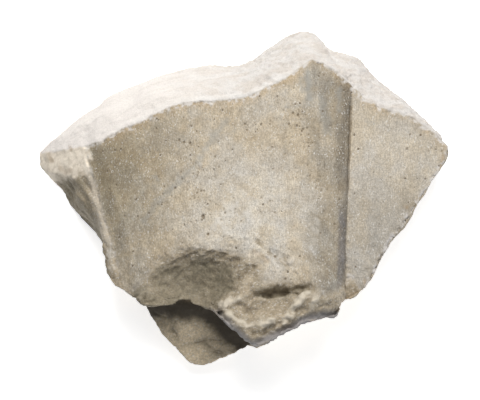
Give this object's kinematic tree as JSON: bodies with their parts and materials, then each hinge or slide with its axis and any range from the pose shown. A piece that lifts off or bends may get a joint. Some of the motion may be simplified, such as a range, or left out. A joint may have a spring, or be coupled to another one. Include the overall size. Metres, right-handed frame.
{
  "type": "marble block",
  "caption": "Broken block of carved marble with a smooth pitted face, a grooved side flange, scooped breaks and a flat back to rest on.",
  "frame": {"origin": "centre of the bounding box at the level of the bed that the block lies on", "axes": "+X across the carved face to the flange, +Y towards the freshly broken top, +Z out of the carved face"},
  "size_m": [0.1646, 0.139, 0.0437],
  "materials": {
    "marble": "matte"
  },
  "bodies": {
    "root": {"marble_block": "marble"}
  },
  "joints": []
}
